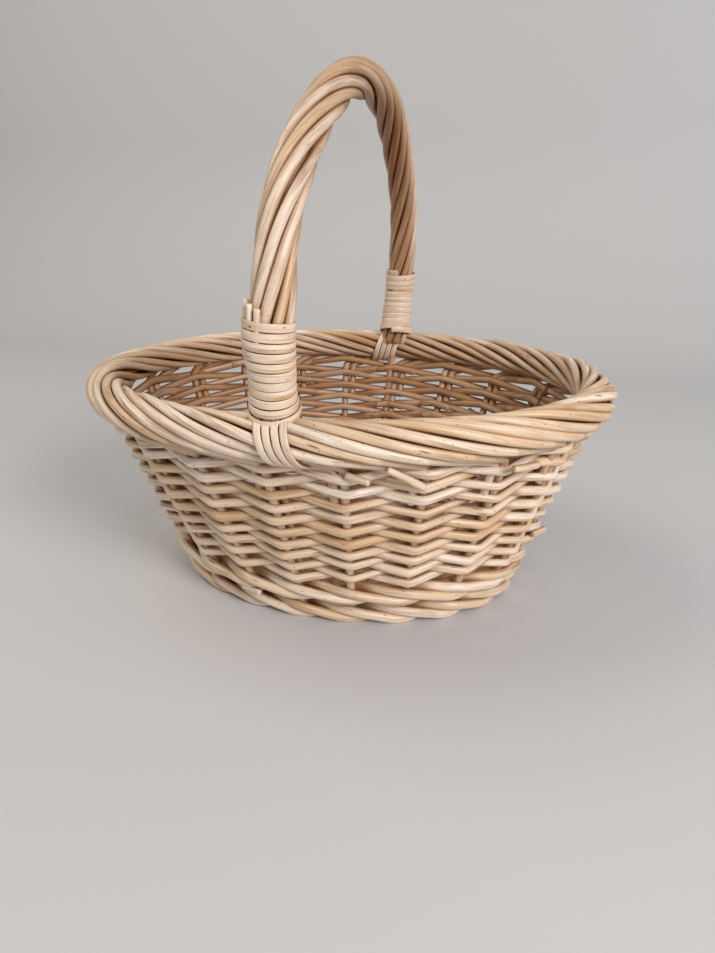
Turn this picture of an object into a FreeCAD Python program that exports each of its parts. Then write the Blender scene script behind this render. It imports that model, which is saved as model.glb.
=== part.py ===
import FreeCAD, Part
import math
import os

V = FreeCAD.Vector
Z = V(0, 0, 1)

# ---- Driving dimensions (mm). +Z up, origin on the ground under the middle, X along the basket's length.
RIM_X, RIM_Y, RIM_Z = 150.0, 123.0, 126.0      # half length, half width and height of the border's centre line
BASE_X, BASE_Y = 104.0, 69.0                   # half length and half width of the stakes' ring on the ground
STAKES = 20                                    # side stakes, an even number so that alternate rows close
FIRST_STAKE = 0.85                             # where the first stake stands, in stake spacings from +X
STAKE_R = 2.3
STAKE_FOOT_Z, STAKE_TOP_Z = 1.0, 113.5
GAP = 0.15                                     # clearance between neighbouring rods

WALE_R = 2.7                                   # thick rods of the upsett, at the foot of the wall
WALE_Z = (2.5, 8.2, 19.3, 24.9, 30.5)          # the space after the second row holds the base stick ends
SIDING_R, SIDING_ROWS = 2.1, 18
SIDING_Z, SIDING_PITCH = 35.6, 4.4
BEND_R = 12.0                                  # how tightly a weaving rod turns at a stake

BASE_Z, BASE_STICK_R = 13.75, 2.6
STICKS_ACROSS, ACROSS_SPACING = 5, 20.0
STICKS_ALONG, ALONG_SPACING = 3, 5.5
STICK_INSET = 6.5                              # their ends stop short of the stakes, between the wale's rods
SLIT_LEAF = 1.0                                # what is left above and below the slit of an across stick
ROUND_R, ROUNDS, ROUND_STEP = 1.9, 13, 4.3     # pairing rounds of the base
ROUND_INSET = 12.5                             # from the stakes' ring to the outermost round

BORDER_STRANDS, BORDER_TURNS = 10, 4
STRAND_R, STRAND_RING_R, BORDER_CORE_R = 2.5, 8.65, 5.9

BOW_R = 4.2                                    # the thick rod inside the handle
LEG_Y, LEG_Z = 73.0, 42.0                      # where its ends stop, inside the wall
NECK_Y, NECK_Z = 119.0, 137.0                  # where it leaves the border
HAUNCH_Y, HAUNCH_Z = {"front": 126.0, "back": 123.0}, 177.0
SHOULDER_Y, SHOULDER_Z = {"front": 118.0, "back": 112.0}, 236.0
CROWN_Y, CROWN_Z = 46.0, 290.0
FOOT_X, LEAN_X, SKEW = 3.0, 10.5, 1.0          # the bow stands a little to +X, leans that way and is turned
HANDLE_RODS, HANDLE_ROD_R, HANDLE_RING_R = 8, 2.3, 7.1
HANDLE_START = 7.0                             # how far above the neck its rods and wrap begin
HANDLE_PITCH, HANDLE_STEP = 190.0, 19.0        # length of one full turn of its rods, and of one run of them

WRAP_T, WRAP_W, WRAP_STEP = 1.1, 3.4, 4.15      # flat skein that binds the handle's feet
WRAP_TURNS = {"front": 11, "back": 11}
LASH_R, LASH_STEP = 1.2, 4.3
LASH_STRANDS = {"front": 4, "back": 4}
LASH_START = {"front": -0.5, "back": 1.5}      # where the first strand crosses the border, in spacings
LASH_LEAN = 2.0                                # each strand moves this far along the border from turn to turn


def dot_angle(u, v):
    return math.acos(max(-1.0, min(1.0, u.dot(v))))


def unit(v):
    return V(v).normalize()


def tube(points, radius, closed=False, bend=None):
    """Round rod along straight runs joined by tangent arcs, built face by face from one travelling circle."""
    n = len(points)
    corners = range(n) if closed else range(1, n - 1)
    cut = {}
    for i in corners:
        before, here, after = points[i - 1], points[i], points[(i + 1) % n]
        u, w = unit(here - before), unit(after - here)
        turn = dot_angle(u, w)
        reach = 0.47 * min((here - before).Length, (after - here).Length)
        if bend and turn > 1e-4:
            reach = min(reach, bend * math.tan(turn / 2))
        cut[i] = (u, w, turn, reach)
    if closed:
        u = unit(points[0] - points[-1])
        start = points[0] - u * cut[0][3]
    else:
        start, u = points[0], unit(points[1] - points[0])
    edge = Part.Edge(Part.Circle(start, u, radius))
    first, faces, here = edge.copy(), [], start
    for i in list(corners) + ([] if closed else [n - 1]):
        u, w, turn, reach = cut.get(i, (unit(points[i] - points[i - 1]), None, 0.0, 0.0))
        run = points[i] - u * reach - here
        if run.Length > 1e-6:
            faces.append(edge.extrude(run))
            edge.translate(run)
            here = here + run
        if turn > 1e-4:
            axis = unit(u.cross(w))
            centre = here + unit(axis.cross(u)) * (reach / math.tan(turn / 2))
            faces.append(edge.revolve(centre, axis, math.degrees(turn)))
            edge.rotate(centre, axis, math.degrees(turn))
            here = points[i] + w * reach
    if closed:
        faces.append(edge.extrude(start - here))
    else:
        faces += [Part.Face(Part.Wire([first])), Part.Face(Part.Wire([edge]))]
    shell = Part.makeShell(faces)
    shell.sewShape()
    solid = Part.makeSolid(shell)
    if solid.Volume < 0:
        solid.reverse()
    return solid


def save(name, solids):
    solids = solids if isinstance(solids, list) else [solids]
    shape = solids[0] if len(solids) == 1 else Part.makeCompound(solids)
    assert shape.isValid(), name
    shape.exportStep(f"parts/{name}.step")
    print(f"{name}: {len(shape.Solids)} solid(s), {shape.Volume / 1000:.1f} cm3")


# ---- The oval that every piece follows ----

def half_axes(z):
    """Half length and half width of the stakes' ring at a height: the wall flares evenly up to the border."""
    k = z / RIM_Z
    return BASE_X + (RIM_X - BASE_X) * k, BASE_Y + (RIM_Y - BASE_Y) * k


def even_angles(count, first):
    """Ellipse angles that divide the wall's middle outline into equal lengths."""
    a, b = half_axes(RIM_Z / 2)
    fine = 3600
    lengths = [0.0]
    for i in range(fine):
        t = 2 * math.pi * (i + 0.5) / fine
        lengths.append(lengths[-1] + math.hypot(a * math.sin(t), b * math.cos(t)) * 2 * math.pi / fine)
    angles, i = [], 0
    for k in range(count):
        target = (k + first) * lengths[-1] / count
        while lengths[i + 1] < target:
            i += 1
        angles.append(2 * math.pi * (i + (target - lengths[i]) / (lengths[i + 1] - lengths[i])) / fine)
    return angles


def on_oval(a, b, t, out, z):
    """Point at ellipse angle t, moved outwards by out along the oval's normal."""
    normal = unit(V(b * math.cos(t), a * math.sin(t), 0))
    return V(a * math.cos(t), b * math.sin(t), z) + normal * out


ANGLES = even_angles(STAKES, FIRST_STAKE)


def woven_ring(z, radius, in_front):
    """One closed row: the rod passes outside the stakes that in_front picks and inside the others."""
    a, b = half_axes(z)
    lean = math.atan2(RIM_Y - BASE_Y, RIM_Z)
    offset = (STAKE_R + radius + GAP) / math.cos(lean)
    side = [1 if in_front(i) else -1 for i in range(STAKES)]
    extra = [0.0] * STAKES
    for _ in range(4):
        points = [on_oval(a, b, t, side[i] * (offset + extra[i]), z) for i, t in enumerate(ANGLES)]
        for i in range(STAKES):
            u, w = unit(points[i] - points[i - 1]), unit(points[(i + 1) % STAKES] - points[i])
            turning = dot_angle(u, w) * math.copysign(1, u.cross(w).z)
            # A bend rounds its corner off: away from the stake that is done by moving the corner out.
            extra[i] = max(0.0, side[i] * BEND_R * (1 / math.cos(turning / 2) - 1) * math.copysign(1, turning))
    return tube(points, radius, closed=True, bend=BEND_R)


# ---- Pieces ----

def base_sticks():
    """Oval base: slit sticks across, with the long sticks threaded through the slits."""
    a, b = (half - STICK_INSET for half in half_axes(BASE_Z))
    slit_h, slit_w = 2 * BASE_STICK_R + 2 * GAP, STICKS_ALONG * ALONG_SPACING + 2 * GAP
    across, along = [], []
    for i in range(STICKS_ACROSS):
        x = (i - (STICKS_ACROSS - 1) / 2) * ACROSS_SPACING
        reach = b * math.sqrt(1 - (x / a) ** 2)
        rod = Part.makeCylinder(BASE_STICK_R, 2 * reach, V(x, -reach, BASE_Z), V(0, 1, 0))
        eye_h, eye_w = slit_h + 2 * SLIT_LEAF, slit_w + 8
        eye = Part.makeBox(2 * BASE_STICK_R, eye_w, eye_h, V(x - BASE_STICK_R, -eye_w / 2, BASE_Z - eye_h / 2))
        corner = V(x - 2 * BASE_STICK_R, -slit_w / 2, BASE_Z - slit_h / 2)
        slit = Part.makeBox(4 * BASE_STICK_R, slit_w, slit_h, corner)
        across.append(rod.fuse(eye).cut(slit))
    for i in range(STICKS_ALONG):
        y = (i - (STICKS_ALONG - 1) / 2) * ALONG_SPACING
        reach = a * math.sqrt(1 - (y / b) ** 2)
        along.append(Part.makeCylinder(BASE_STICK_R, 2 * reach, V(-reach, y, BASE_Z), V(1, 0, 0)))
    save("base_sticks_across", across)
    save("base_sticks_along", along)


def base_rounds():
    """Pairing of the base: in each round one rod lies over the sticks and one under them."""
    a, b = half_axes(BASE_Z)
    clear = BASE_STICK_R + GAP + SLIT_LEAF + ROUND_R + GAP
    corners = 24
    for name, z in (("over", BASE_Z + clear), ("under", BASE_Z - clear)):
        rings = []
        for k in range(ROUNDS):
            inset = ROUND_INSET + k * ROUND_STEP
            points = [on_oval(a - inset, b - inset, 2 * math.pi * i / corners, 0, z) for i in range(corners)]
            rings.append(tube(points, ROUND_R, closed=True))
        save(f"base_weave_{name}", rings)


def side_stakes():
    """Upright rods of the wall, pushed down through the upsett and leaning out to the border."""
    stakes = []
    for t in ANGLES:
        low = on_oval(*half_axes(STAKE_FOOT_Z), t, 0, STAKE_FOOT_Z)
        top = on_oval(*half_axes(STAKE_TOP_Z), t, 0, STAKE_TOP_Z)
        stakes.append(tube([low, top], STAKE_R))
    save("side_stakes", stakes)


def foot_wale():
    """Upsett: thick rods worked in front of two stakes and behind one, each row one stake further on."""
    for row, z in enumerate(WALE_Z):
        behind = [(i + row) % STAKES in range(2, STAKES - 1, 3) for i in range(STAKES)]
        ring = woven_ring(z, WALE_R, lambda i: not behind[i])
        if row == 0:
            ring = ring.common(Part.makeBox(4 * RIM_X, 4 * RIM_X, 40, V(-2 * RIM_X, -2 * RIM_X, 0)))
        save(f"foot_wale_{row + 1}", ring)


def siding():
    """Randing: in front of one stake, behind the next, with neighbouring rows opposite."""
    for row in range(SIDING_ROWS):
        z = SIDING_Z + row * SIDING_PITCH
        save(f"siding_row_{row + 1:02d}", woven_ring(z, SIDING_R, lambda i, row=row: (i + row) % 2 == 0))


def bow_route():
    """Corners of the handle's centre line, from the front foot over the crown to the back foot."""
    front, back = ([(LEG_Y, LEG_Z), (NECK_Y, NECK_Z), (HAUNCH_Y[end], HAUNCH_Z), (SHOULDER_Y[end], SHOULDER_Z),
                    (CROWN_Y, CROWN_Z)] for end in ("front", "back"))
    flat = [(-y, z) for y, z in front] + [(y, z) for y, z in reversed(back)]
    route = []
    for y, z in flat:
        rise = max(0.0, (z - NECK_Z) / (CROWN_Z - NECK_Z))
        route.append(V(FOOT_X + LEAN_X * rise + SKEW * y / NECK_Y, y, z))
    return route


def bow_stations(step):
    """Evenly spaced points with tangents on the bow's curve from neck to neck."""
    route, fine = bow_route(), []
    for i in range(1, len(route) - 1):
        before, here, after = route[i - 1], route[i], route[i + 1]
        start, end = (before + here) * 0.5, (here + after) * 0.5
        for k in range(40):
            s = k / 40
            fine.append(start * (1 - s) ** 2 + here * (2 * s * (1 - s)) + end * s ** 2)
    fine = [p for p in fine if p.z >= NECK_Z + HANDLE_START]
    length = [0.0]
    for p, q in zip(fine, fine[1:]):
        length.append(length[-1] + (q - p).Length)
    count = round(length[-1] / step)
    stations, j = [], 0
    for k in range(count + 1):
        target = min(length[-1] * k / count, length[-1] - 1e-6)
        while length[j + 1] < target:
            j += 1
        part = (target - length[j]) / (length[j + 1] - length[j])
        stations.append((target, fine[j] * (1 - part) + fine[j + 1] * part, unit(fine[j + 1] - fine[j])))
    return stations


def bow_points():
    """The bow's own corners: its two ends and even stations between the necks."""
    route = bow_route()
    return [route[0]] + [p for _, p, _ in bow_stations(HANDLE_STEP)] + [route[-1]]


def bow_holes():
    """The two straight lengths of the bow that pass through the border, a little thicker."""
    points = bow_points()
    return [tube(pair, BOW_R + GAP) for pair in (points[:2], points[-2:])]


def handle():
    """Bow rod with the handle's other rods wound round it in a long rope twist."""
    save("handle_bow", tube(bow_points(), BOW_R))
    side = V(1, 0, 0)
    for rod in range(HANDLE_RODS):
        route = []
        for s, p, tangent in bow_stations(HANDLE_STEP):
            outward = unit(tangent.cross(side))
            turn = 2 * math.pi * (rod / HANDLE_RODS - s / HANDLE_PITCH)
            route.append(p + (outward * math.cos(turn) + side * math.sin(turn)) * HANDLE_RING_R)
        save(f"handle_rod_{rod + 1}", tube(route, HANDLE_ROD_R))


def border():
    """Rolled border: the bundle of run-in rod ends with a rope of strands laid round it."""
    corners = 48
    rim = [on_oval(RIM_X, RIM_Y, 2 * math.pi * i / corners, 0, RIM_Z) for i in range(corners)]
    holes = bow_holes()
    core = tube(rim, BORDER_CORE_R, closed=True)
    for hole in holes:
        core = core.cut(hole)
    save("border_core", core.Solids)
    for strand in range(BORDER_STRANDS):
        route = []
        for i in range(corners + 1):
            t = 2 * math.pi * (min(i, corners - 0.02) / corners + strand / BORDER_STRANDS)
            turn = 2 * math.pi * strand / BORDER_STRANDS - BORDER_TURNS * t
            out, up = STRAND_RING_R * math.cos(turn), STRAND_RING_R * math.sin(turn)
            route.append(on_oval(RIM_X, RIM_Y, t, out, RIM_Z + up))
        rope = tube(route, STRAND_R)
        for hole in holes:
            rope = rope.cut(hole)
        save(f"border_strand_{strand + 1:02d}", rope.Solids)


def bindings():
    """Flat skein round each foot of the handle, and the lashing strands that tie it over the border."""
    stations = bow_stations(WRAP_STEP)
    inner = HANDLE_RING_R + HANDLE_ROD_R + GAP
    for name, turns in WRAP_TURNS.items():
        near = stations[:turns] if name == "front" else stations[-turns:]
        rings = []
        for _, p, tangent in near:
            start = p - tangent * (WRAP_W / 2)
            rings.append(Part.makeCylinder(inner + WRAP_T, WRAP_W, start, tangent)
                         .cut(Part.makeCylinder(inner, WRAP_W, start, tangent)))
        save(f"handle_wrap_{name}", rings)
    # the strand's corners stand far enough out for its straight runs to clear the border
    around = (STRAND_RING_R + STRAND_R + LASH_R + GAP) / math.cos(math.radians(20))
    for name, count in LASH_STRANDS.items():
        side, spread = (-1, (60, 20, -20, -60)) if name == "front" else (1, (120, 160, 200, 240))
        strands = []
        for k in range(count):
            x = FOOT_X + SKEW * side + (k + LASH_START[name]) * LASH_STEP * -side
            route = []
            for i, degrees in enumerate(spread):
                turn = math.radians(degrees)
                y = RIM_Y * math.sqrt(1 - (x / RIM_X) ** 2) + around * math.cos(turn)
                route.append(V(x - side * i * LASH_LEAN, side * y, RIM_Z + around * math.sin(turn)))
            strands.append(tube(route, LASH_R))
        save(f"border_lashing_{name}", strands)


os.makedirs("parts", exist_ok=True)
base_sticks()
base_rounds()
side_stakes()
foot_wale()
siding()
border()
handle()
bindings()
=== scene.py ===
import math
import bpy
import numpy as np
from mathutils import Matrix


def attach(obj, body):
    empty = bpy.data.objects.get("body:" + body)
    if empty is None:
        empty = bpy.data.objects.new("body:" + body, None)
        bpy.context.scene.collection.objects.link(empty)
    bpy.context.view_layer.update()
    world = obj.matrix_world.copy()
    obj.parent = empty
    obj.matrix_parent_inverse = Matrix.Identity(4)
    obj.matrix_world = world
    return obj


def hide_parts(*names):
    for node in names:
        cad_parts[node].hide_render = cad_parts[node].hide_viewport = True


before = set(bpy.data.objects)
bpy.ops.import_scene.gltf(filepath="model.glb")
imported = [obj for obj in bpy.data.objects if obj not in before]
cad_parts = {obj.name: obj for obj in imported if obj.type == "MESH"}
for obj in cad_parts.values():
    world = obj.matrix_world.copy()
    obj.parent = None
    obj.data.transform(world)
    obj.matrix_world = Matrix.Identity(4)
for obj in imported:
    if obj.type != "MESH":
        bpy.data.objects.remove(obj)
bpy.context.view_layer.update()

# ---- Base sticks ----
# Eight straight willow sticks: five lie across, split in the middle, and three run along through the slits.
# They are peeled rods of the thicker sort, trimmed at the ends and held by the weave round them.

MM = 0.001
rng = np.random.default_rng(11)
NODES = list(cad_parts)


def unit(v):
    """Each vector divided by its own length."""
    return v / np.maximum(np.linalg.norm(v, axis=-1, keepdims=True), 1e-12)


def blend(a, b, t):
    """Smooth step from 0 to 1 as t goes from a to b: 3x^2 - 2x^3."""
    x = np.clip((t - a) / (b - a), 0, 1)
    return x * x * (3 - 2 * x)


def rods(name, centre, thick, outward, wide=None, square=1.0, tint=None, sides=10, swelling=0.05,
         painted_light=1.0):
    """A mesh of many rods. Rod k has its centre line centre[k], and at each station a ring of points
    centre + thick*c*N + wide*s*B, where N is the outward direction made square to the line, B is square to
    both, and c and s are the cosine and sine of the angle, drawn towards a rectangle as square falls below
    1. Two slow sines along the rod, multiplied, swell it by a share of its thickness. Both ends get a small
    bevel and a cap. One attribute holds painted shade: 0 on the outward side where the last argument, the
    share painted as lit, is 1, 1 in the grooves, and 0.7 on the side that faces inward. The attribute
    rod_tint is one number per rod."""
    centre = np.asarray(centre, float)
    k, n, _ = centre.shape
    thick = np.broadcast_to(thick, (k, n)).copy()
    wide = thick.copy() if wide is None else np.broadcast_to(wide, (k, n)).copy()
    outward = np.broadcast_to(outward, centre.shape)
    along = np.gradient(centre, axis=1)
    tangent = unit(along)
    step = np.linalg.norm(np.diff(centre, axis=1), axis=2)
    arc = np.concatenate([np.zeros((k, 1)), np.cumsum(step, axis=1)], axis=1)
    short_wave, long_wave = 14 * MM, 37 * MM
    phase = rng.uniform(0, 2 * np.pi, (k, 3, 1))
    swell = np.sin(arc / short_wave + phase[:, 0]) * np.sin(arc / long_wave + phase[:, 1])
    thick *= 1 + swelling * swell
    wide *= 1 + swelling * swell
    normal = unit(outward - (outward * tangent).sum(-1, keepdims=True) * tangent)
    other = np.cross(tangent, normal)
    # One more ring at each end, drawn in by a fifth, bevels the cut.
    drawn_in = 0.2
    bevel = drawn_in * thick[:, [0, -1]][..., None] * tangent[:, [0, -1]]
    centre = np.concatenate([centre[:, :1] - bevel[:, :1], centre, centre[:, -1:] + bevel[:, 1:]], axis=1)
    pad = ((0, 0), (1, 1))
    painted_light = np.broadcast_to(painted_light, (k, n))
    thick, wide, arc, painted_light = (np.pad(a, pad, mode="edge") for a in (thick, wide, arc, painted_light))
    normal, other = (np.pad(a, pad + ((0, 0),), mode="edge") for a in (normal, other))
    thick[:, [0, -1]] *= 1 - drawn_in
    wide[:, [0, -1]] *= 1 - drawn_in
    n += 2
    angle = 2 * np.pi * np.arange(sides) / sides
    c = np.sign(np.cos(angle)) * np.abs(np.cos(angle)) ** square
    s = np.sign(np.sin(angle)) * np.abs(np.sin(angle)) ** square
    ring = (centre[:, :, None] + (thick[..., None] * c)[..., None] * normal[:, :, None]
            + (wide[..., None] * s)[..., None] * other[:, :, None])
    points = np.concatenate([ring.reshape(-1, 3), centre[:, 0], centre[:, -1]])
    rod, i, j = np.meshgrid(np.arange(k), np.arange(n - 1), np.arange(sides), indexing="ij")
    here, there = (rod * n + i) * sides, (rod * n + i + 1) * sides
    beside = (j + 1) % sides
    quads = np.stack([here + j, here + beside, there + beside, there + j], -1).reshape(-1, 4)
    girth = np.pi * (thick + wide)
    u = arc[:, :-1, None], arc[:, 1:, None]
    v = (j / sides) * girth.mean(), ((j + 1) / sides) * girth.mean()
    flat = np.zeros_like(v[0])
    quad_uv = np.stack([np.stack([flat + u[a], v[b]], -1) for a, b in ((0, 0), (0, 1), (1, 1), (1, 0))], -2)
    rod, j = np.meshgrid(np.arange(k), np.arange(sides), indexing="ij")
    first, last = rod * n * sides, (rod * n + n - 1) * sides
    pole = k * n * sides + rod
    caps = np.concatenate([np.stack([pole, first + (j + 1) % sides, first + j], -1).reshape(-1, 3),
                           np.stack([pole + k, last + j, last + (j + 1) % sides], -1).reshape(-1, 3)])
    # Every triangle of a cap shows the same small patch of grain, 1 by 2 mm.
    cap_uv = np.tile(np.array([[0, 0], [1, 0], [1, 2]]) * MM, (len(caps), 1))
    mesh = bpy.data.meshes.new(name)
    mesh.vertices.add(len(points))
    mesh.vertices.foreach_set("co", points.ravel())
    mesh.loops.add(quads.size + caps.size)
    mesh.loops.foreach_set("vertex_index", np.concatenate([quads.ravel(), caps.ravel()]).astype(np.int32))
    mesh.polygons.add(len(quads) + len(caps))
    starts = np.concatenate([np.arange(len(quads)) * 4, quads.size + np.arange(len(caps)) * 3])
    mesh.polygons.foreach_set("loop_start", starts.astype(np.int32))
    mesh.update(calc_edges=True)
    mesh.validate()
    smooth = np.concatenate([np.ones(len(quads), bool), np.zeros(len(caps), bool)])
    mesh.polygons.foreach_set("use_smooth", smooth)
    layer = mesh.uv_layers.new(name="grain")
    layer.data.foreach_set("uv", np.concatenate([quad_uv.reshape(-1, 2), cap_uv]).ravel())
    tint = rng.uniform(0, 1, k) if tint is None else np.broadcast_to(tint, k)
    values = np.concatenate([np.repeat(tint, n * sides), tint, tint])
    mesh.attributes.new("rod_tint", "FLOAT", "POINT").data.foreach_set("value", values)
    # Painted shade: near 1 in the grooves, 0.7 on the inward side, least on the outward side where it is
    # painted lit.
    lit, back = blend(-0.15, 0.6, np.cos(angle)), blend(0.2, 0.9, -np.cos(angle))
    painted_shade = 1 - painted_light[..., None] * lit - 0.3 * back
    cap_painted_shade = np.full(2 * k, 0.3)
    painted_shade = np.concatenate([painted_shade.ravel(), cap_painted_shade])
    mesh.attributes.new("painted_shade", "FLOAT", "POINT").data.foreach_set("value", painted_shade)
    piece = bpy.data.objects.new(name, mesh)
    bpy.context.scene.collection.objects.link(piece)
    return piece


def linear(code):
    """An sRGB hex colour as linear RGBA: each channel c becomes ((c + 0.055) / 1.055)^2.4 above 0.04045."""
    c = np.array([int(code[i:i + 2], 16) for i in (1, 3, 5)]) / 255
    low, high = c / 12.92, ((c + 0.055) / 1.055) ** 2.4
    return (*np.where(c <= 0.04045, low, high).tolist(), 1.0)


def add(material, kind, inputs=None, **settings):
    """Adds one node, sets its properties, and fills its inputs by name or index with values or links."""
    n = material.node_tree.nodes.new("ShaderNode" + kind)
    for key, value in settings.items():
        setattr(n, key, value)
    for key, value in (inputs or {}).items():
        if isinstance(value, bpy.types.NodeSocket):
            material.node_tree.links.new(value, n.inputs[key])
        else:
            n.inputs[key].default_value = value
    return n


# The brown that painted shade multiplies willow by, then its pale grain, its dark specks and its bud scars.
SHADE_TINT, PALE_GRAIN, SPECK, BUD_SCAR = "#a97c40", "#f4e6d3", "#4a2c17", "#6b4526"


def willow(name, tones, streak, roughness, grain_depth):
    """Peeled willow. The bark is boiled and stripped off, which leaves a smooth buff skin with fine
    lengthwise grain, tan streaks, small dark specks and, every few centimetres, a bud scar. Each rod has its
    own tone, and painted shade makes it browner inside the basket and in the grooves."""
    m = bpy.data.materials.new(name)
    m.use_nodes = True
    m.node_tree.nodes.clear()
    uv = add(m, "UVMap", uv_map="grain").outputs["UV"]
    tint = add(m, "Attribute", attribute_name="rod_tint").outputs["Fac"]
    painted_shade = add(m, "Attribute", attribute_name="painted_shade").outputs["Fac"]
    parts = add(m, "SeparateXYZ", {0: uv}).outputs
    own = add(m, "Math", {0: tint, 1: 9.0}, operation="MULTIPLY").outputs[0]
    place = add(m, "CombineXYZ", {0: parts[0], 1: parts[1], 2: own}).outputs[0]
    # Cells per metre along the rod and across it, change from rod to rod, then detail and roughness.
    masks = []
    for cells, detail, rough in (((45, 1600, 3.0), 3.0, 0.6), ((28, 160, 2.0), 2.0, 0.5),
                                 ((9, 40, 1.0), 1.0, 0.5), ((420, 1300, 5.0), 1.0, 0.5)):
        where = add(m, "VectorMath", {0: place, 1: cells}, operation="MULTIPLY").outputs[0]
        noise = {"Vector": where, "Scale": 1.0, "Detail": detail, "Roughness": rough}
        masks.append(add(m, "TexNoise", noise).outputs[0])
    grain, stain, patch, speck = masks
    # Bud scars are cells about 40 mm apart along the rod and 8 mm across it.
    where = add(m, "VectorMath", {0: place, 1: (24, 130, 7.0)}, operation="MULTIPLY").outputs[0]
    bud = add(m, "TexVoronoi", {"Vector": where, "Scale": 1.0, "Randomness": 1.0}).outputs["Distance"]
    # The tone, from pale to brown, is 0.62 of the rod's own tint plus 0.75 of the patches, less 0.18.
    tone = add(m, "Math", {0: tint, 1: 0.62}, operation="MULTIPLY").outputs[0]
    tone = add(m, "Math", {0: patch, 1: 0.75, 2: tone}, operation="MULTIPLY_ADD").outputs[0]
    tone = add(m, "Math", {0: tone, 1: 0.18}, operation="SUBTRACT").outputs[0]
    ramp = add(m, "ValToRGB", {0: tone})
    while len(ramp.color_ramp.elements) < len(tones):
        ramp.color_ramp.elements.new(0.5)
    for i, code in enumerate(tones):
        ramp.color_ramp.elements[i].position = i / (len(tones) - 1)
        ramp.color_ramp.elements[i].color = linear(code)
    colour = ramp.outputs["Color"]
    # Each layer is painted over the ones below where its mask goes from low to high, at most this strongly.
    for mask, low, high, code, most in ((grain, 0.50, 0.72, streak, 0.7), (stain, 0.54, 0.72, streak, 0.75),
                                        (grain, 0.46, 0.25, PALE_GRAIN, 0.45),
                                        (speck, 0.71, 0.77, SPECK, 0.85), (bud, 0.10, 0.05, BUD_SCAR, 0.75)):
        amount = add(m, "MapRange", {0: mask, 1: low, 2: high, 3: 0.0, 4: most}).outputs[0]
        colour = add(m, "Mix", {0: amount, 6: colour, 7: linear(code)}, data_type="RGBA").outputs[2]
    # Painted shade: the colour is multiplied towards the shade brown as the painted shade attribute rises.
    painted_shade_amount = add(m, "MapRange", {0: painted_shade, 1: 0.15, 2: 1.0, 3: 0.0, 4: 1.0}).outputs[0]
    shaded = add(m, "Mix", {0: painted_shade_amount, 6: colour, 7: linear(SHADE_TINT)}, data_type="RGBA", blend_type="MULTIPLY")
    low, high = roughness - 0.07, roughness + 0.1
    gloss = add(m, "MapRange", {0: stain, 1: 0.3, 2: 0.7, 3: low, 4: high}).outputs[0]
    relief = add(m, "Math", {0: bud, 1: 0.4, 2: grain}, operation="MULTIPLY_ADD").outputs[0]
    bump = add(m, "Bump", {"Height": relief, "Strength": 0.6, "Distance": grain_depth}).outputs[0]
    # The skin is smooth and faintly waxy, which the thin coat gives.
    shader = add(m, "BsdfPrincipled", {"Base Color": shaded.outputs[2], "Roughness": gloss, "Normal": bump,
                                        "IOR": 1.5, "Coat Weight": 0.2, "Coat Roughness": 0.42})
    add(m, "OutputMaterial", {0: shader.outputs[0]}, is_active_output=True)
    return m


# Four tones of boiled and peeled rods, palest first, and the tan of their streaks.
BUFF = ("#f4e7d9", "#ebd7c1", "#e0c4a3", "#cfa97d")
BUFF_STREAK = "#a67a50"
peeled_willow = willow("buff_willow_boiled_and_peeled", BUFF, BUFF_STREAK, 0.44, 0.12 * MM)


def settle(piece, material, finish, *nodes):
    """The piece takes its material, rides on the basket and stands for its CAD nodes, if it has any."""
    piece.data.materials.append(material)
    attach(piece, "root")
    if nodes:
        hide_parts(*nodes)


UP = np.array([0.0, 0.0, 1.0])
RIM = np.array([150.0, 123.0]) * MM            # half length and half width at the border's centre line
GROUND = np.array([104.0, 69.0]) * MM          # the same on the ground
RIM_Z = 126 * MM                               # height of the border's centre line
BASE_Z = 13.75 * MM
BASE_STICK_R = 2.7 * MM
ACROSS_STICKS, ACROSS_SPACING = 5, 20 * MM
ALONG_STICKS, ALONG_SPACING = 3, 5.5 * MM
ACROSS_X = (np.arange(ACROSS_STICKS) - ACROSS_STICKS // 2) * ACROSS_SPACING
ALONG_Y = (np.arange(ALONG_STICKS) - ALONG_STICKS // 2) * ALONG_SPACING
STICK_INSET = 6.5 * MM                         # from the stakes to the ends of the sticks
EYE_HALF, EYE_SWELL = 9.5 * MM, 0.42           # the slit that the long sticks pass through


def half_axes(z):
    """Half length and half width of the stakes' ring at a height, straight from the ground to the border."""
    k = (np.asarray(z) / RIM_Z)[..., None]
    return GROUND + (RIM - GROUND) * k


def straight(ends, stations):
    """Points spread evenly between the two ends of each stick."""
    t = np.linspace(0, 1, stations)[None, :, None]
    return ends[:, :1] * (1 - t) + ends[:, 1:] * t


base_half = half_axes(BASE_Z) - STICK_INSET
reach = base_half[1] * np.sqrt(1 - (ACROSS_X / base_half[0]) ** 2)
ends = np.stack([np.stack([ACROSS_X, s * reach, np.full(ACROSS_STICKS, BASE_Z)], -1) for s in (-1, 1)], 1)
across = straight(ends, 60)
eye = 1 + EYE_SWELL * np.exp(-(across[..., 1] / EYE_HALF) ** 6)
# Painted shade: both sets of base sticks are coloured as mostly in shade, 0.3 lit.
stick = rods("base_sticks_across", across, BASE_STICK_R * eye, UP, wide=BASE_STICK_R, painted_light=0.3)
settle(stick, peeled_willow, "buff_willow", "base_sticks_across")
reach = base_half[0] * np.sqrt(1 - (ALONG_Y / base_half[1]) ** 2)
ends = np.stack([np.stack([s * reach, ALONG_Y, np.full(ALONG_STICKS, BASE_Z)], -1) for s in (-1, 1)], 1)
stick = rods("base_sticks_along", straight(ends, 60), BASE_STICK_R, UP, painted_light=0.3)
settle(stick, peeled_willow, "buff_willow", "base_sticks_along")

# ---- Base weave ----
# Pairing: two thin rods at a time go round the sticks, one over and one under, and change places between
# sticks. Thirteen rounds fill the oval from the slits out to the wall.

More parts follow.
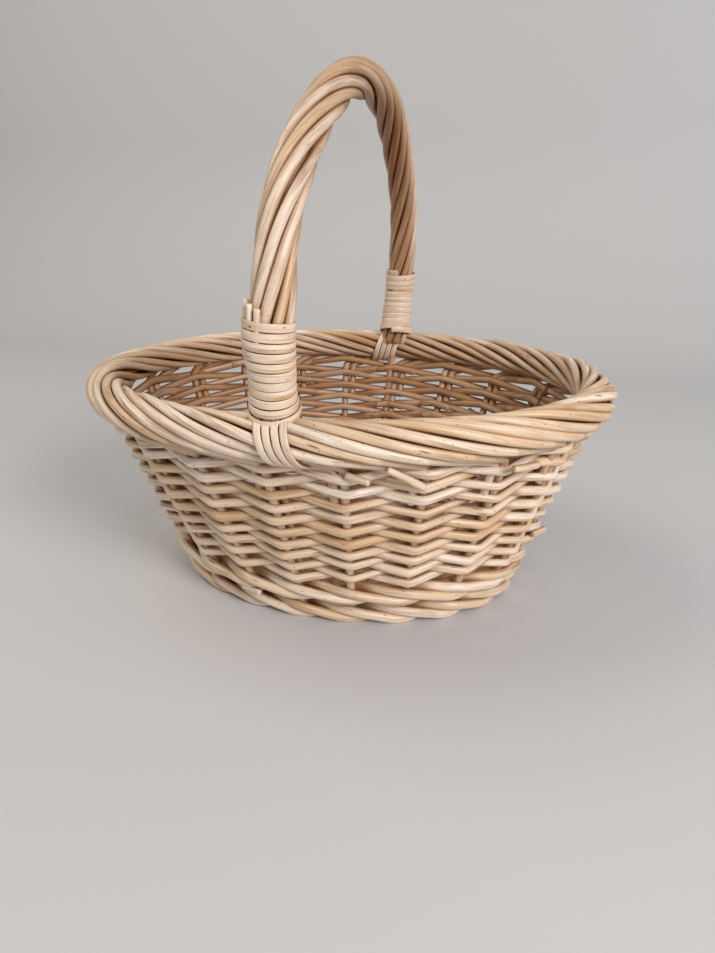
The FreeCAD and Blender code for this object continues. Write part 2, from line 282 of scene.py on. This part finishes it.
ROUNDS, ROUND_STEP, ROUND_INSET = 13, 4.53 * MM, 9.7 * MM
PAIR_R = 2.1 * MM
PAIR_LIFT = BASE_STICK_R + 0.9 * PAIR_R        # how far a rod stands above or below the sticks
PAIR_TWIST = 0.9 * MM                          # how far the two part sideways where they change places
turn = np.linspace(0, 2 * np.pi, 241)
for name, lift in (("over", 1), ("under", -1)):
    paths = []
    for k in range(ROUNDS):
        a, b = half_axes(BASE_Z) - ROUND_INSET - k * ROUND_STEP
        # Every round is one rod, which starts a little further on than the round outside it.
        first = 0.4 * k + (0.0 if lift > 0 else 0.02)
        t = turn * 0.995 + first
        tops = np.arccos(np.clip(ACROSS_X[::-1] / a, -0.98, 0.98))
        right = np.arcsin(np.clip(ALONG_Y / b, -0.9, 0.9))
        crossings = np.concatenate([right, tops, np.pi - right[::-1], 2 * np.pi - tops[::-1]])
        crossings = np.sort(np.mod(crossings, 2 * np.pi))
        marks = np.concatenate([crossings[-1:] - 2 * np.pi, crossings, crossings[:1] + 2 * np.pi])
        # The number of sticks passed. Height is a cosine of it and the sideways shift is a sine.
        passed = np.interp(np.mod(t, 2 * np.pi), marks, np.arange(len(marks)))
        wave = lift * np.cos(np.pi * passed)
        shift = lift * PAIR_TWIST * np.sin(np.pi * passed)
        x, y = (a + shift) * np.cos(t), (b + shift) * np.sin(t)
        paths.append(np.stack([x, y, BASE_Z + PAIR_LIFT * wave], -1))
    # Painted shade: the base weave is coloured as mostly in shade, 0.3 lit.
    piece = rods(f"base_weave_{name}", np.array(paths), PAIR_R, UP, sides=8, painted_light=0.3)
    settle(piece, peeled_willow, "buff_willow", f"base_weave_{name}")

# ---- Upsett ----
# Thick rods woven three at a time round the foot of the wall, each in front of two stakes and behind the
# third, twice round. Every stroke starts high and slants down, so the foot looks like a loose rope.

STAKES, FIRST_STAKE = 20, 0.85                 # stake 0 stands this many spacings past the +X end
STAKE_R = 2.3 * MM
FLARE = math.atan2((RIM - GROUND).mean(), RIM_Z)   # the wall's mean lean from upright
WALE_R = 3.05 * MM
table_t = np.linspace(0, 2 * np.pi, 3601)
mid_a, mid_b = half_axes(RIM_Z / 2)
table_s = np.concatenate([[0], np.cumsum(np.hypot(np.diff(mid_a * np.cos(table_t)),
                                                  np.diff(mid_b * np.sin(table_t))))])


def oval_angle(u):
    """Ellipse angle at u stake spacings. The stakes are evenly spaced round the middle of the wall."""
    s = np.mod(np.asarray(u) + FIRST_STAKE, STAKES) / STAKES * table_s[-1]
    return np.interp(s, table_s, table_t)


def oval_normal(u, z):
    """Level direction that points straight out of the oval."""
    t, ab = oval_angle(u), half_axes(z)
    return unit(np.stack([ab[..., 1] * np.cos(t), ab[..., 0] * np.sin(t), np.zeros_like(t)], -1))


def wall_normal(u, z):
    """Direction that points out of the basket, square to the slanting wall."""
    return oval_normal(u, z) * math.cos(FLARE) - UP * math.sin(FLARE)


def on_wall(u, z, out):
    """Point of the wall at u stake spacings and height z, moved out square to the slanting wall."""
    u, z, out = np.broadcast_arrays(u, z, out)
    t, ab = oval_angle(u), half_axes(z)
    normal = wall_normal(u, z)
    return np.stack([ab[..., 0] * np.cos(t), ab[..., 1] * np.sin(t), z], -1) + out[..., None] * normal


def stake_to_stake(u, station, round_off):
    """Path of a rod that runs straight from stake to stake, where station(i) is its place at stake i. The
    corner at a stake is a parabola that begins round_off spacings before it and ends as far after it."""
    i = np.rint(u).astype(int)
    d = (u - i)[..., None]
    here, before, after = station(i), station(i - 1), station(i + 1)
    line = here + np.where(d > 0, after - here, here - before) * d
    t = np.clip((d + round_off) / (2 * round_off), 0, 1)
    start, end = here + (before - here) * round_off, here + (after - here) * round_off
    corner = start * (1 - t) ** 2 + here * 2 * t * (1 - t) + end * t ** 2
    return np.where(np.abs(d) < round_off, corner, line)


def lit_in_front(path, u):
    """Share painted as lit: 1 where a woven rod runs outside the wall's middle surface, a smooth step down to
    0.1 behind it.
    """
    z = path[..., 2]
    depth = ((path - on_wall(u, z, 0.0)) * wall_normal(u, z)).sum(-1)
    return 0.1 + 0.9 * blend(-3.8 * MM, 0.3 * MM, depth)


STROKE_DROP = 3.7 * MM
ROUND_RISE, RISE_FROM, RISE_TO = 15.4 * MM, 20.0, 23.0    # height, then stake spacings along the rod
WALE_WANDER = 0.35 * MM
uneven = rng.normal(0, 1, (3, 64))
wale_j = np.arange(3)[:, None]


def wale_station(i):
    """Place of the upsett's rods at stake i: behind one stake at mid height, then high and low in front."""
    step = np.mod(i + wale_j, 3)
    side = np.where(step == 0, -1.0, 1.0)
    level = WALE_R + STROKE_DROP + 0.1 * MM + ROUND_RISE * blend(RISE_FROM, RISE_TO, i + wale_j * 0.5)
    wander = uneven[wale_j, np.mod(i, 64)] * WALE_WANDER
    z = level + np.choose(step, [0.0, STROKE_DROP, -STROKE_DROP]) + np.abs(wander)
    return on_wall(i + uneven[wale_j, np.mod(i + 7, 64)] * 0.02, z, side * (STAKE_R + WALE_R * 0.92))


WALE_START, WALE_LENGTH = 2.62, 40.4           # in stake spacings; each rod starts one before the last
u = np.linspace(0.0, WALE_LENGTH, 620)[None] + WALE_START - wale_j
path = stake_to_stake(u, wale_station, 0.3)
taper = WALE_R * (1.0 - 0.10 * np.mod(u * 0.11 + wale_j * 0.4, 1.0))
piece = rods("foot_wale", path, taper, oval_normal(u, path[..., 2]), sides=12, tint=(0.25, 0.5, 0.8),
             painted_light=lit_in_front(path, u))
settle(piece, peeled_willow, "buff_willow", *[n for n in NODES if n.startswith("foot_wale")])

# ---- Siding ----
# Randing: one thin rod at a time goes in front of one stake and behind the next, and the next row does the
# opposite. The wall is beaten down, so a rod dips where it passes in front. New rods start behind a stake.

SIDING_ROWS, SIDING_Z, SIDING_PITCH = 19, 35.0 * MM, 4.3 * MM
SIDING_R, SIDING_TALL = 2.2 * MM, 1.14         # beaten down, the rods lie a little flat against the stakes
DIP = 1.4 * MM
CORNER = 0.07                                  # how sharply a rod turns at a stake, in stake spacings
RODS_IN_ROW = 3
WANDER_UP, WANDER_OUT, WANDER_ALONG = 0.35 * MM, 0.25 * MM, 0.03
SAG = 0.5 * MM                                 # slow rise and fall of a row round the basket
rows = np.repeat(np.arange(SIDING_ROWS), RODS_IN_ROW)[:, None]
order = np.tile(np.arange(RODS_IN_ROW), SIDING_ROWS)[:, None]
joins = rows * 3 + 1 + 2 * rng.integers(0, 5, (SIDING_ROWS, 1)).repeat(RODS_IN_ROW, 0) + order * 6
length = np.where(order == 2, 8.0, 6.0)
uneven = rng.normal(0, 1, (SIDING_ROWS, STAKES, 3))
sag = rng.normal(0, 1, (SIDING_ROWS, 2))


def siding_station(i):
    """Place of each siding rod at stake i: out in front or in behind, lower in front, never quite even."""
    w = uneven[rows, np.mod(i, STAKES)]
    front = np.where(np.mod(i + rows, 2) == 0, 1.0, -1.0)
    slow = SAG * np.sin(2 * np.pi * i / STAKES + sag[rows, 0] * 3) * (0.5 + np.abs(sag[rows, 1]) * 0.5)
    z = SIDING_Z + rows * SIDING_PITCH - front * DIP + w[..., 0] * WANDER_UP + slow
    out = front * (STAKE_R + SIDING_R * 0.9) + w[..., 1] * WANDER_OUT
    return on_wall(i + w[..., 2] * WANDER_ALONG, z, out)


t = np.linspace(0, 1, 160)[None]
# Each rod runs on past the stake behind which it starts, and past the one behind which it ends.
lead = rng.uniform(0.22, 0.42, (len(rows), 2))
u = joins - lead[:, :1] + t * (length + lead.sum(1, keepdims=True))
path = stake_to_stake(u, siding_station, CORNER)
# The ends stand off the wall, on the side where they lie.
END_LIFT = 1.6 * MM
loose = np.exp(-(t * length) / 0.25) + np.exp(-((1 - t) * length) / 0.25)
nearest = np.rint(u).astype(int)
side = np.where(np.mod(nearest + rows, 2) == 0, 1.0, -1.0)
path += (loose * side * END_LIFT)[..., None] * oval_normal(u, path[..., 2])
taper = SIDING_R * (1.12 - 0.26 * t) * rng.uniform(0.93, 1.07, (len(rows), 1))
piece = rods("siding_rods", path, taper, oval_normal(u, path[..., 2]), wide=taper * SIDING_TALL,
             painted_light=lit_in_front(path, u))
settle(piece, peeled_willow, "buff_willow", *[n for n in NODES if n.startswith("siding_row")])

# ---- Side stakes and rolled border ----
# Twenty upright rods and twenty more set in beside them. Above the weave each leans over clockwise, climbs
# the outside of the border, goes over the top to the inside and is tucked away after one full turn.

ROPE_R = 8.7 * MM
TURN_IN = 5.0                                  # stake spacings in one full turn of the rope
LEAVE_Z = 110 * MM                             # where a stake leaves the weave
JOIN_ROPE = 0.62                               # stake spacings from its own place to where it joins the rope
BORDER_TRAVEL = 5.6                            # and to where its tip is tucked away
LEAVE_RISE, JOIN_PULL = 9 * MM, 0.9            # how far the bend keeps to the stake, then to the rope
STAKE_FOOT_Z, SET_IN_Z = 4 * MM, 90 * MM       # lower ends of the stakes and of the rods beside them
BESIDE, BESIDE_LAG = 0.14, 0.36                # how far those stand to one side, and how much later they turn
ROPE_WOBBLE, TIP_SINK = 0.05, 0.35


def on_rope(u, turn, radius):
    """Point of the border's rope at u stake spacings: turn 0 points out of the basket, a quarter turn up."""
    t = oval_angle(u)
    centre = np.stack([RIM[0] * np.cos(t), RIM[1] * np.sin(t), np.full_like(t, RIM_Z)], -1)
    normal = oval_normal(u, np.full_like(t, RIM_Z))
    return centre + radius[..., None] * (np.cos(turn)[..., None] * normal + np.sin(turn)[..., None] * UP)


def border_rod(start, foot_z, travel, lag):
    """Rod from the weave into the rope: straight up the wall, a Hermite curve that leans clockwise, then the
    helix at the rope's radius, whose turn grows from a quarter below the outside as it travels clockwise.
    Gives the path, the direction away from the rope's middle, and how much of each point is painted as lit."""
    wobble = rng.normal(0, 1, (len(start), 4, 1))

    def helix(s):
        phase = 2 * np.pi * (s / TURN_IN - 0.25) + ROPE_WOBBLE * wobble[:, 0]
        radius = ROPE_R * (1 + ROPE_WOBBLE * wobble[:, 1] * np.sin(2 * s + wobble[:, 2] * 3))
        inward = TIP_SINK * blend(travel - 1.6, travel, s)
        return on_rope(start - s - lag, phase, radius * (1 - inward))

    def radial(s, where):
        return unit(where - on_rope(start - s - lag, 0 * s, 0 * s))

    low = np.linspace(0, 1, 24)[None]
    stem = on_wall(start + 0 * low, foot_z + (LEAVE_Z - foot_z) * low, 0 * low)
    s0 = np.full((len(start), 1), JOIN_ROPE)
    p1, slope = helix(s0), (helix(s0 + 0.01) - helix(s0)) / 0.01
    p0, rise = stem[:, -1:], stem[:, -1:] - stem[:, -2:-1]
    rise = rise / np.linalg.norm(rise, axis=-1, keepdims=True) * LEAVE_RISE
    h = np.linspace(0, 1, 16)[None, 1:-1, None]
    bend = ((2 * h ** 3 - 3 * h ** 2 + 1) * p0 + (h ** 3 - 2 * h ** 2 + h) * rise
            + (3 * h ** 2 - 2 * h ** 3) * p1 + (h ** 3 - h ** 2) * slope * JOIN_PULL)
    s = JOIN_ROPE + (travel - JOIN_ROPE) * np.linspace(0, 1, 80)[None] + 0 * start
    coil = helix(s)
    out0, out1 = oval_normal(start, LEAVE_Z)[:, :1], radial(s, coil)
    outward = np.concatenate([out0 + 0 * stem, out0 + (out1[:, :1] - out0) * h, out1], axis=1)
    # Painted shade: the rope is darker on the side that faces into the basket, and the stems and bends are
    # painted 0.6 lit.
    inside = 1 - 0.45 * blend(0.0, 0.8, -(out1 * oval_normal(start - s - lag, coil[..., 2])).sum(-1))
    painted_light = np.concatenate([np.full((len(start), stem.shape[1] + bend.shape[1]), 0.6), inside], axis=1)
    return np.concatenate([stem, bend, coil], axis=1), outward, painted_light


count = np.arange(STAKES)[:, None].astype(float)
main, outward, painted_light = border_rod(count, STAKE_FOOT_Z, BORDER_TRAVEL, 0.0)
t = np.linspace(0, 1, main.shape[1])[None]
radius = (2.55 - 0.55 * blend(0.45, 1.0, t)) * MM * rng.uniform(0.94, 1.06, (STAKES, 1))
piece = rods("side_stakes", main, radius, outward, sides=10, painted_light=painted_light)
strands = [n for n in NODES if n.startswith("border_strand")]
settle(piece, peeled_willow, "buff_willow", "side_stakes", *strands[::2])
extra, outward, painted_light = border_rod(count - BESIDE, SET_IN_Z, BORDER_TRAVEL, BESIDE_LAG)
radius = (2.65 - 0.6 * blend(0.45, 1.0, t)) * MM * rng.uniform(0.94, 1.06, (STAKES, 1))
piece = rods("border_rods", extra, radius, outward, sides=10, painted_light=painted_light)
settle(piece, peeled_willow, "buff_willow", *strands[1::2])

# ---- Border core ----
# The thin tips of the same rods, gathered inside the rope all the way round.

CORE_RODS, CORE_ROD_R, CORE_RING_R = 7, 1.9 * MM, 3.9 * MM
CORE_START, CORE_TURN_IN = 2.9, 11             # stake spacings from tip to tip, and in one turn
k = np.arange(CORE_RODS)[:, None]
u = np.linspace(0, STAKES * 0.999, 260)[None] + k * CORE_START
turn = 2 * np.pi * (k / CORE_RODS + u / CORE_TURN_IN)
core = on_rope(u, turn, np.full_like(u, CORE_RING_R))
# Painted shade: the core is coloured as almost all in shade, 0.2 lit.
piece = rods("border_core", core, CORE_ROD_R, UP, sides=8, painted_light=0.2)
settle(piece, peeled_willow, "buff_willow", "border_core")

# ---- Handle ----
# A thick bow rod whose ends are pushed down into the wall beside a stake, with eight thinner rods wound round
# it in a long rope twist from one foot to the other.

X_WAY = np.array([1.0, 0.0, 0.0])
BOW_R = 4.2 * MM
FOOT_X, LEAN_X = 3 * MM, 10.5 * MM             # place of the feet along the basket, and lean by the crown
SKEW, BESIDE_STAKE = 1 * MM, 3 * MM            # each foot's step to its own side, and its ends' shift
# Corners of each half from its foot to the crown, as distance from the basket's middle and height.
front_half = np.array([(86, 42), (112.5, 104), (119, 137), (126, 177), (118, 236), (46, 290)]) * MM
back_half = np.array([(86, 42), (112.5, 104), (119, 137), (123, 177), (112, 236), (46, 290)]) * MM
(NECK_Y, NECK_Z), CROWN_Z = front_half[2], front_half[-1, 1]
yz = np.concatenate([front_half * (-1, 1), back_half[::-1]])
# The bow leans towards +X as it climbs, and its ends stand close beside a stake.
climb = np.clip((yz[:, 1] - NECK_Z) / (CROWN_Z - NECK_Z), 0, 1)
corners = np.stack([FOOT_X + LEAN_X * climb + SKEW * yz[:, 0] / NECK_Y, yz[:, 0], yz[:, 1]], -1)
corners[[0, 1, -2, -1], 0] -= BESIDE_STAKE
# Its curve is parabolas that touch the middle of each run between corners.
start, end = (corners[:-2] + corners[1:-1]) / 2, (corners[1:-1] + corners[2:]) / 2
start[0], end[-1] = corners[0], corners[-1]
t = np.linspace(0, 1, 60, endpoint=False)[None, :, None]
bow = start[:, None] * (1 - t) ** 2 + corners[1:-1][:, None] * 2 * t * (1 - t) + end[:, None] * t ** 2
bow = np.concatenate([bow.reshape(-1, 3), corners[-1:]])
bow_arc = np.concatenate([[0], np.cumsum(np.linalg.norm(np.diff(bow, axis=0), axis=1))])
above = np.nonzero(bow[:, 2] > NECK_Z - 2 * MM)[0]
NECK_A, NECK_B = bow_arc[above[0]], bow_arc[above[-1]]


def bow_at(s):
    """Points of the bow's curve at these distances along it."""
    return np.stack([np.interp(s, bow_arc, bow[:, c]) for c in range(3)], -1)


def round_bow(s, turn, radius):
    """Point at distance s along the bow and this far from its middle, turned round it from the side that
    faces into the arch towards +X. Also gives the direction from the middle to the point."""
    centre = bow_at(s)
    tangent = unit(bow_at(s + 0.5 * MM) - bow_at(s - 0.5 * MM))
    x_side = unit(X_WAY - (X_WAY * tangent).sum(-1, keepdims=True) * tangent)
    inner = np.cross(tangent, x_side)
    direction = np.cos(turn)[..., None] * inner + np.sin(turn)[..., None] * x_side
    return centre + np.asarray(radius)[..., None] * direction, direction


# Its ends are slyped, shaved down to half their thickness, so that they go in beside the stakes.
SLYPE_END, SLYPE_START = 60 * MM, 105 * MM
s = np.linspace(0, bow_arc[-1], 160)[None]
whole = blend(SLYPE_END, SLYPE_START, s) * blend(SLYPE_END, SLYPE_START, bow_arc[-1] - s)
# Painted shade: the bow is coloured as mostly in shade, 0.3 lit.
piece = rods("handle_bow", bow_at(s), BOW_R * (0.5 + 0.5 * whole), X_WAY, sides=14, painted_light=0.3)
settle(piece, peeled_willow, "buff_willow", "handle_bow")

HANDLE_RODS, HANDLE_ROD_R, HANDLE_RING_R = 8, 2.6 * MM, 7.1 * MM
HANDLE_PITCH = 190 * MM                        # one full turn of the rope
UNDER_WRAP = 6 * MM                            # how far the rods go on past the neck, into the border
k = np.arange(HANDLE_RODS)[:, None]
s = np.linspace(NECK_A - UNDER_WRAP, NECK_B + UNDER_WRAP, 220)[None] + 0 * k
wobble = rng.normal(0, 1, (HANDLE_RODS, 4, 1))
turn = 2 * np.pi * (k / HANDLE_RODS - (s - NECK_A) / HANDLE_PITCH)
turn = turn + 0.07 * wobble[:, 0] * np.sin(s / (45 * MM) + wobble[:, 1] * 3)
ring = HANDLE_RING_R * (1 + 0.03 * wobble[:, 2] * np.sin(s / (38 * MM) + wobble[:, 3] * 3))
path, direction = round_bow(s, turn, ring)
# Every other rod starts from the back foot, so butts and tips alternate.
gone = k % 2 + (1 - 2 * (k % 2)) * (s - NECK_A) / (NECK_B - NECK_A)
taper = HANDLE_ROD_R * (1.06 - 0.12 * gone)
# Painted shade: browner towards the crown and on the side that faces into the arch.
crown_share = 1 - np.abs(2 * (s - NECK_A) / (NECK_B - NECK_A) - 1)
handle_lit = (0.75 - 0.3 * blend(0.3, 0.9, crown_share)) * (1 - 0.75 * blend(-0.1, 0.9, np.cos(turn)))
piece = rods("handle_rods", path, taper, direction, sides=12, painted_light=handle_lit)
settle(piece, peeled_willow, "buff_willow", *[n for n in NODES if n.startswith("handle_rod")])

# ---- Handle wraps ----
# Skein: a rod split in three and shaved to a flat ribbon, wound tightly round each foot of the handle. Its
# lowest turns spread over the border and slant.

# Four tones of shaved skein, palest first; the inside of a rod is whiter and less streaked than its skin.
SKEIN = ("#f3e5d8", "#e9d5c0", "#ddc2a5", "#d0ac88")
skein_willow = willow("willow_skein_split_and_shaved", SKEIN, "#b98d5d", 0.38, 0.06 * MM)
SKEIN_T, SKEIN_W = 0.6 * MM, 2.05 * MM         # half thickness and half width
WRAP_R = HANDLE_RING_R + HANDLE_ROD_R + SKEIN_T
WRAP_TURNS, WRAP_STEP, WRAP_FROM = 11, 4.15 * MM, 1.5 * MM
STUB_BULGE, STUB_TURN = 2.6 * MM, 2.36         # the front wrap goes over cut rod ends on its left
w = np.linspace(0, WRAP_TURNS, WRAP_TURNS * 40)[None]     # turns counted up from the border
for name, start, way in (("front", NECK_A, 1), ("back", NECK_B, -1)):
    # The lowest turns slant and spread over the border, and both fade over the next turn or two.
    slant = 2.6 * MM * np.exp(-w / 1.6) + 0.35 * MM
    rise = WRAP_FROM + w * WRAP_STEP
    angle = 2 * np.pi * w
    s = start + way * (rise + slant * np.cos(angle - 0.6))
    spread = WRAP_R * (1 + 0.22 * np.exp(-w / 1.3)) + 0.12 * MM * np.sin(w * 5.3)
    if name == "front":
        spread = spread + STUB_BULGE * ((1 + np.cos(angle + STUB_TURN)) / 2) ** 3 * blend(4, 9, w)
    path, direction = round_bow(s, angle, spread)
    piece = rods(f"handle_wrap_{name}", path, SKEIN_T, direction, wide=SKEIN_W, square=0.5, sides=12,
                 swelling=0.02, tint=0.35)
    settle(piece, skein_willow, "willow_skein", f"handle_wrap_{name}")

# ---- Border lashings ----
# Four ribbons of the same skein at each foot, drawn down from under the wrap on both sides of the border and
# tucked beneath it, so that the handle can't pull out.

LASHES, LASH_STEP, LASH_LEAN = 4, 4.3 * MM, 10 * MM
LASH_TURN = 171                                # degrees from the border's top to the tucked ends
LASH_R = ROPE_R + 2.5 * MM + SKEIN_T
for name, side in (("front", -1), ("back", 1)):
    k = np.arange(LASHES)[:, None]
    t = np.linspace(-1, 1, 97)[None]
    turn = np.radians(90 + LASH_TURN * t) + 0 * k
    x = FOOT_X + side * SKEW - side * ((k - 1.2) * LASH_STEP + LASH_LEAN * np.abs(t) ** 1.5)
    rim_y = RIM[1] * np.sqrt(1 - (x / RIM[0]) ** 2)
    y = side * (rim_y + LASH_R * np.cos(turn))
    path = np.stack([x, y, RIM_Z + LASH_R * np.sin(turn)], -1)
    middle = np.stack([x, side * rim_y, np.full_like(x, RIM_Z)], -1)
    piece = rods(f"border_lashing_{name}", path, SKEIN_T, path - middle, wide=SKEIN_W * 0.9, square=0.6,
                 sides=12, swelling=0.02, tint=(0.2, 0.35, 0.3, 0.45))
    settle(piece, skein_willow, "willow_skein", f"border_lashing_{name}")

# ---- Cut rod ends ----
# A few of the handle's rods were trimmed short where the front wrap holds them, and stand just above it.
# Ends of weaving rods and of border rods also stick out of the wall here and there, cut with shears.

CUT_END_R, CUT_END_OUT = 1.75 * MM, 3.6 * MM
CUT_END_FROM = 36 * MM                         # they start under the wrap, this far above the neck
cut_length = np.array([[17.5], [18.5], [17.0], [15.5]]) * MM
cut_turn = np.radians([[-104.0], [-126.0], [-147.0], [-169.0]])    # side by side on the left of the handle
s = np.linspace(0, 1, 12)[None] * cut_length
out = HANDLE_RING_R + CUT_END_OUT + 0.05 * s
path, direction = round_bow(NECK_A + CUT_END_FROM + s, cut_turn + 0 * s, out)
piece = rods("handle_cut_ends", path, CUT_END_R, direction, sides=10)
settle(piece, peeled_willow, "buff_willow")

# Each end runs between two places: stake spacings round the wall, height in mm, and mm out from the stakes.
ends = np.array([[(15.95, 105, 6.5), (15.5, 118, 8.5)], [(15.05, 111, 4.5), (15.3, 112, 10.5)],
                 [(17.45, 108, 5.0), (16.95, 114, 10.5)], [(12.85, 17, 5.5), (13.3, 20, 8.5)],
                 [(18.8, 43, 4.0), (19.1, 45, 9.5)], [(9.3, 106, 4.0), (9.75, 113, 12.0)],
                 [(6.2, 60, -4.5), (6.5, 66, -10.0)], [(2.1, 84, 4.5), (2.45, 88, 10.0)]])
t = np.linspace(0, 1, 10)[None, :, None]
place = ends[:, :1] * (1 - t) + ends[:, 1:] * t
path = on_wall(place[..., 0], place[..., 1] * MM, place[..., 2] * MM)
taper = 1.8 * MM * (1.08 - 0.12 * t[..., 0])
piece = rods("weaving_cut_ends", path, taper, oval_normal(place[..., 0], path[..., 2]))
settle(piece, peeled_willow, "buff_willow")

# ---- Floor, light and camera ----

# A seamless backdrop: level floor, a quarter circle BEND in radius and an upright wall, in metres.
FLOOR_FRONT, FLOOR_BACK, BEND, WALL_TOP, HALF_WIDTH = -4.0, 0.62, 0.35, 3.0, 5.0
quarter = np.linspace(0, np.pi / 2, 33)
depth = np.concatenate([[FLOOR_FRONT], FLOOR_BACK + BEND * np.sin(quarter), [FLOOR_BACK + BEND]])
height = np.concatenate([[0.0], BEND * (1 - np.cos(quarter)), [WALL_TOP]])
points = [(x, y, z) for y, z in zip(depth.tolist(), height.tolist()) for x in (-HALF_WIDTH, HALF_WIDTH)]
strips = [(2 * i, 2 * i + 1, 2 * i + 3, 2 * i + 2) for i in range(len(depth) - 1)]
floor_mesh = bpy.data.meshes.new("floor")
floor_mesh.from_pydata(points, [], strips)
floor_mesh.polygons.foreach_set("use_smooth", [True] * len(strips))
floor = bpy.data.objects.new("floor", floor_mesh)
bpy.context.scene.collection.objects.link(floor)
paint = bpy.data.materials.new("pale_paper_backdrop_matt")
paint.use_nodes = True
paint.node_tree.nodes["Principled BSDF"].inputs["Base Color"].default_value = linear("#c8c9ca")
paint.node_tree.nodes["Principled BSDF"].inputs["Roughness"].default_value = 0.6
floor_mesh.materials.append(paint)

world = bpy.data.worlds.new("studio")
world.use_nodes = True
world.node_tree.nodes["Background"].inputs["Color"].default_value = linear("#efeeec")
world.node_tree.nodes["Background"].inputs["Strength"].default_value = 0.48
bpy.context.scene.world = world
bpy.context.scene.view_settings.view_transform = "Standard"


def area_light(name, place, target, size, power, colour):
    """A square soft light that looks at the target."""
    data = bpy.data.lights.new(name, "AREA")
    data.shape = "SQUARE"
    data.size = size
    data.energy = power
    data.color = linear(colour)[:3]
    lamp = bpy.data.objects.new(name, data)
    bpy.context.scene.collection.objects.link(lamp)
    lamp.location = place
    aim = np.array(target) - np.array(place)
    lamp.rotation_euler = (math.acos(-aim[2] / np.linalg.norm(aim)), 0, math.atan2(-aim[0], aim[1]))


# A soft window on the right and a larger, weaker and warmer light above on the left.
area_light("window", (1.1, -0.95, 0.9), (0, 0, 0.1), 0.55, 19.5, "#fffafa")
area_light("ceiling", (-0.9, -0.1, 1.3), (0, 0, 0.1), 1.0, 7.5, "#fff3e2")

camera = bpy.data.objects.new("camera", bpy.data.cameras.new("camera"))
bpy.context.scene.collection.objects.link(camera)
bpy.context.scene.camera = camera
CAMERA_AT = (126.8 * MM, -411.3 * MM, 227.7 * MM)
TURN, PITCH = math.radians(16.1), math.radians(21.12)
camera.location = CAMERA_AT
camera.rotation_euler = (math.pi / 2 - PITCH, 0, TURN)
camera.data.sensor_width = 36
camera.data.lens = 26.44
camera.data.clip_start = 0.01
